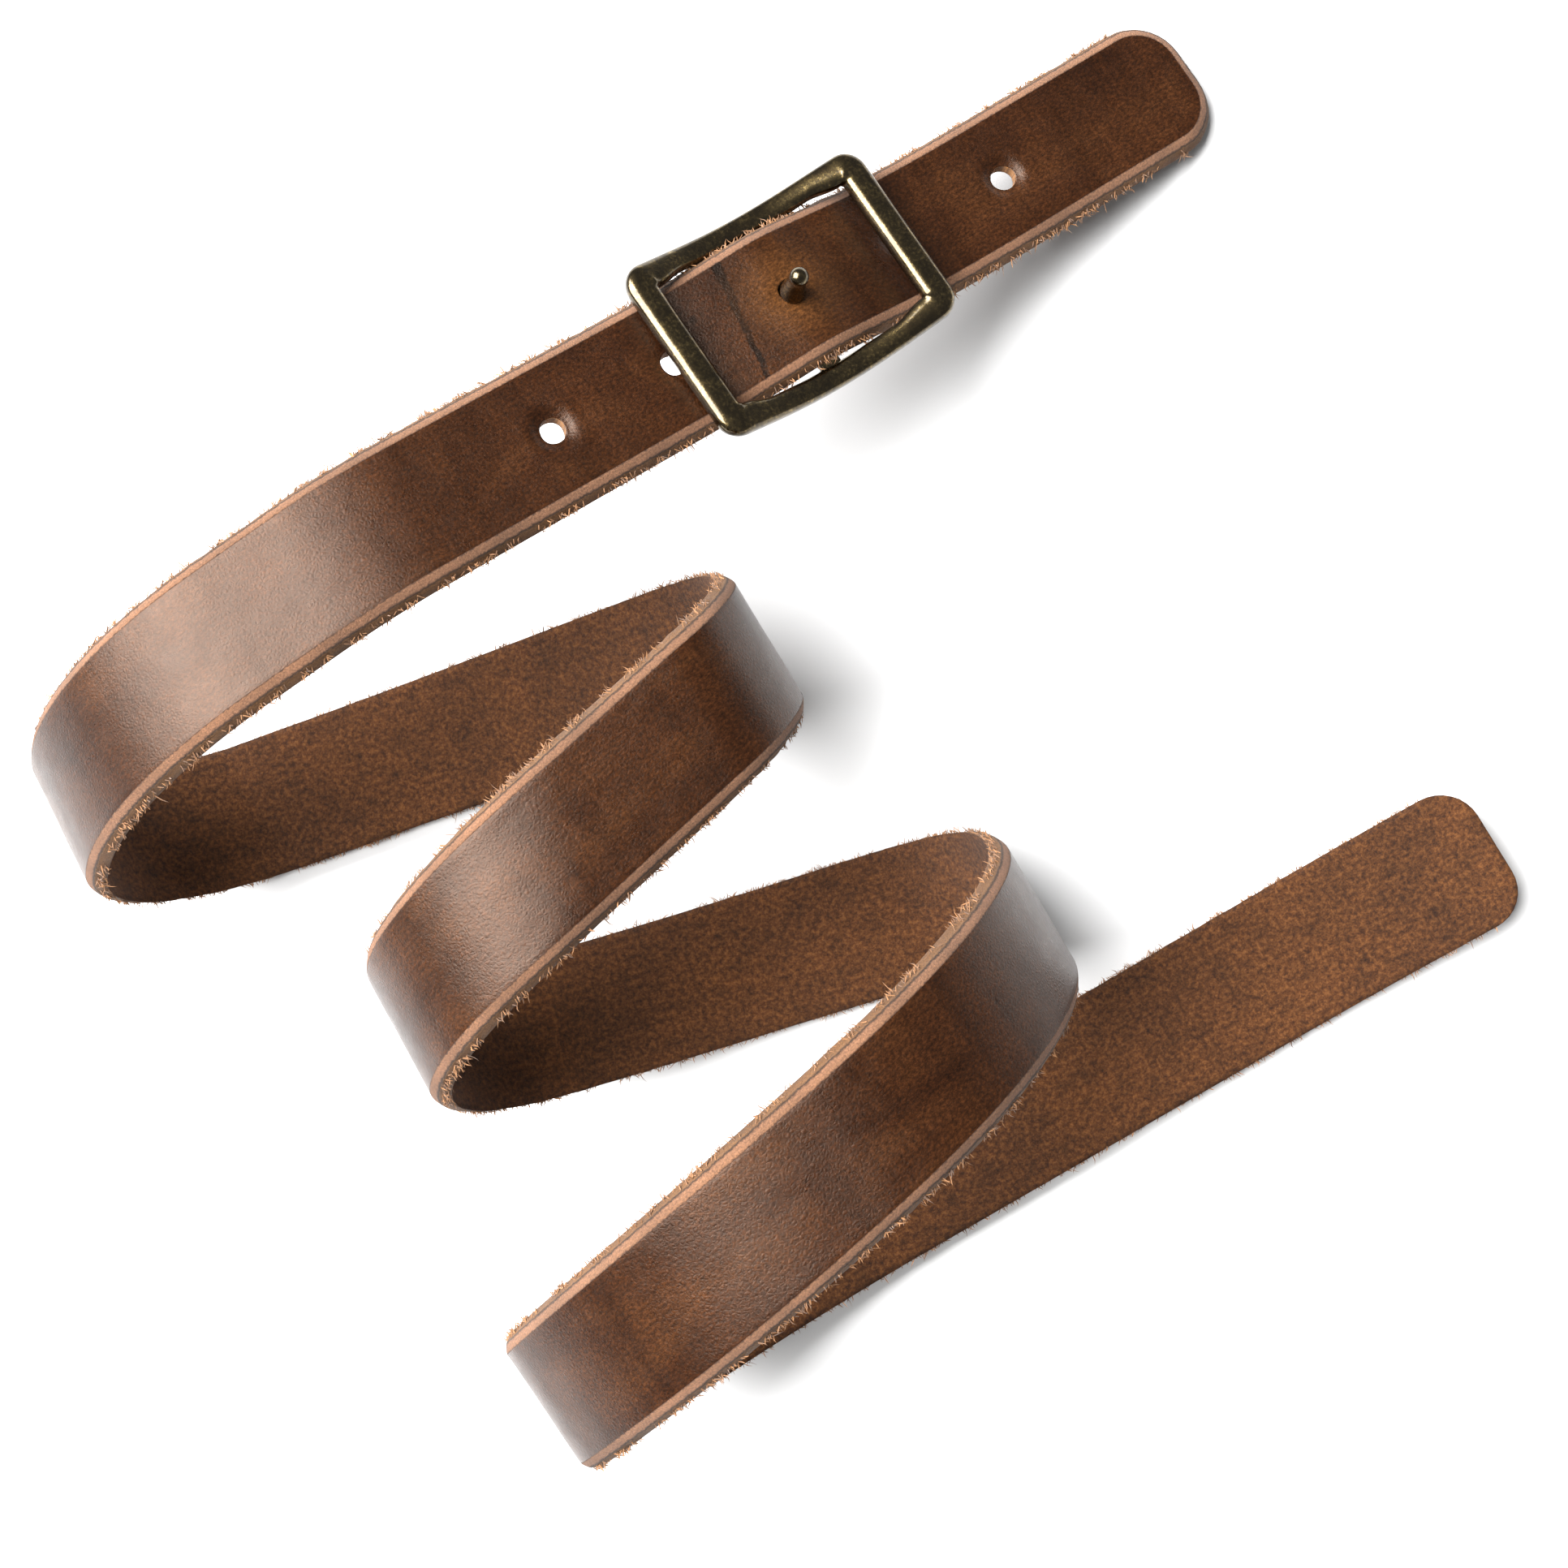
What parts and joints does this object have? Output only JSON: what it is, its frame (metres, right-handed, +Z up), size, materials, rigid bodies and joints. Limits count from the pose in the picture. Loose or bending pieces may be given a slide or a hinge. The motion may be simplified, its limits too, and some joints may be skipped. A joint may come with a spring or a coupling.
{
  "type": "leather belt",
  "caption": "Thick brown leather belt lying in loose coils, with a cast brass Conway buckle and stud near its tip, rounded ends and punched holes.",
  "frame": {"origin": "on the floor, under the middle of the belt's bounding box", "axes": "+Z up from the floor; the coil's strands run mostly along +X, the tip and the tail end both towards +X, with the tip on the +Y side"},
  "size_m": [0.3172, 0.3087, 0.0967],
  "materials": {
    "leather": "waxed vegetable-tanned leather with a rough flesh side",
    "brass": "antique brass with dark patina"
  },
  "bodies": {
    "tail_end": {"strap_6_tail_end": "leather"},
    "upper_strand_3": {"strap_5_upper": "leather"},
    "lower_strand_2": {"strap_4_lower": "leather"},
    "upper_strand_2": {"strap_3_upper": "leather"},
    "lower_strand_1": {"strap_2_lower": "leather"},
    "buckle_end": {"strap_1_buckle_end": "leather"},
    "buckle": {"buckle_frame": "brass", "buckle_stud": "brass"}
  },
  "joints": [
    {"name": "left_bend_3", "type": "hinge", "parent": "tail_end", "child": "upper_strand_3", "pos_m": [-0.0436, -0.14189, 0.03971], "axis": [0.5853, -0.8102, 0.0311], "range_deg": [0, 12]},
    {"name": "right_bend_2", "type": "hinge", "parent": "upper_strand_3", "child": "lower_strand_2", "pos_m": [0.04943, -0.03793, 0.01923], "axis": [-0.5076, 0.8616, 0.0008], "range_deg": [0, 12]},
    {"name": "left_bend_2", "type": "hinge", "parent": "lower_strand_2", "child": "upper_strand_2", "pos_m": [-0.07293, -0.0687, 0.04625], "axis": [0.5031, -0.8623, 0.0568], "range_deg": [0, 12]},
    {"name": "right_bend_1", "type": "hinge", "parent": "upper_strand_2", "child": "lower_strand_1", "pos_m": [-0.00319, 0.01559, 0.04247], "axis": [-0.5092, 0.8511, 0.1279], "range_deg": [0, 12]},
    {"name": "left_bend_1", "type": "hinge", "parent": "lower_strand_1", "child": "buckle_end", "pos_m": [-0.14748, -0.0267, 0.02126], "axis": [0.4635, -0.8858, 0.0222], "range_deg": [0, 18]},
    {"name": "buckle_rock", "type": "hinge", "parent": "buckle_end", "child": "buckle", "pos_m": [0.00274, 0.08612, 0.04021], "axis": [-0.5669, 0.8237, -0.0104], "range_deg": [-0.5, 4.5]}
  ],
  "couplings": [
    {"joint": "right_bend_2", "follows": "left_bend_3", "ratio": 1},
    {"joint": "left_bend_2", "follows": "left_bend_3", "ratio": 1},
    {"joint": "right_bend_1", "follows": "left_bend_3", "ratio": 1}
  ]
}
